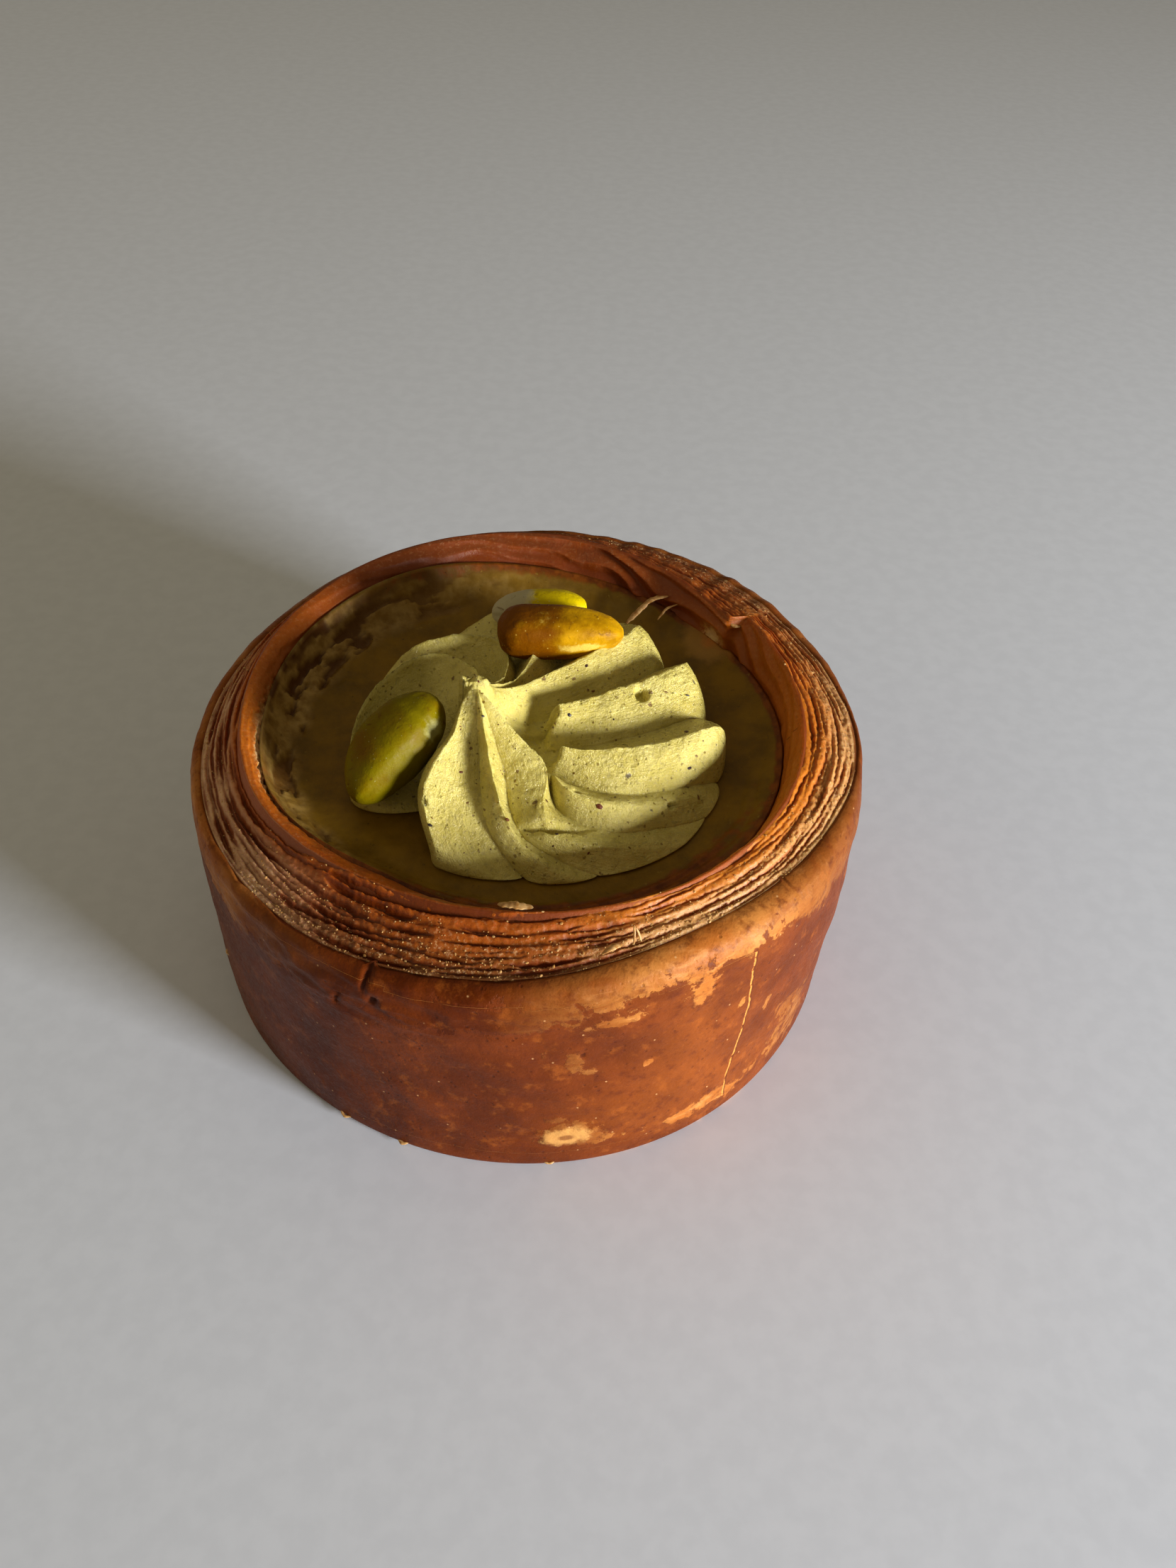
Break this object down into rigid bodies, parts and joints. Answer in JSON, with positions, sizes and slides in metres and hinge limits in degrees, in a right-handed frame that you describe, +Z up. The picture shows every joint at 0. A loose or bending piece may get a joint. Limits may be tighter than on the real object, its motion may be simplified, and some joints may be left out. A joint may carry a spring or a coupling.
{
  "type": "pistachio custard tart",
  "caption": "Round straight-sided flaky pastry tart filled with custard, topped with a twisted rosette of cream and pistachio kernels.",
  "frame": {"origin": "centre of the flat underside, on the surface the tart stands on", "axes": "+Z up, -Y towards the front as pictured, +X to the right"},
  "size_m": [0.0841, 0.0841, 0.0444],
  "materials": {
    "pastry": "baked flaky pastry, matt with a slight sheen on the skin",
    "custard": "baked custard, satin",
    "cream": "whipped cream with ground pistachio, soft satin",
    "kernel_green": "pistachio kernel, satin",
    "kernel_amber": "pistachio kernel, satin"
  },
  "bodies": {
    "root": {"pastry_case": "pastry", "custard": "custard", "cream_rosette": "cream", "pistachio_left": "kernel_green", "pistachio_front": "kernel_amber", "pistachio_back": "kernel_green"}
  },
  "joints": []
}
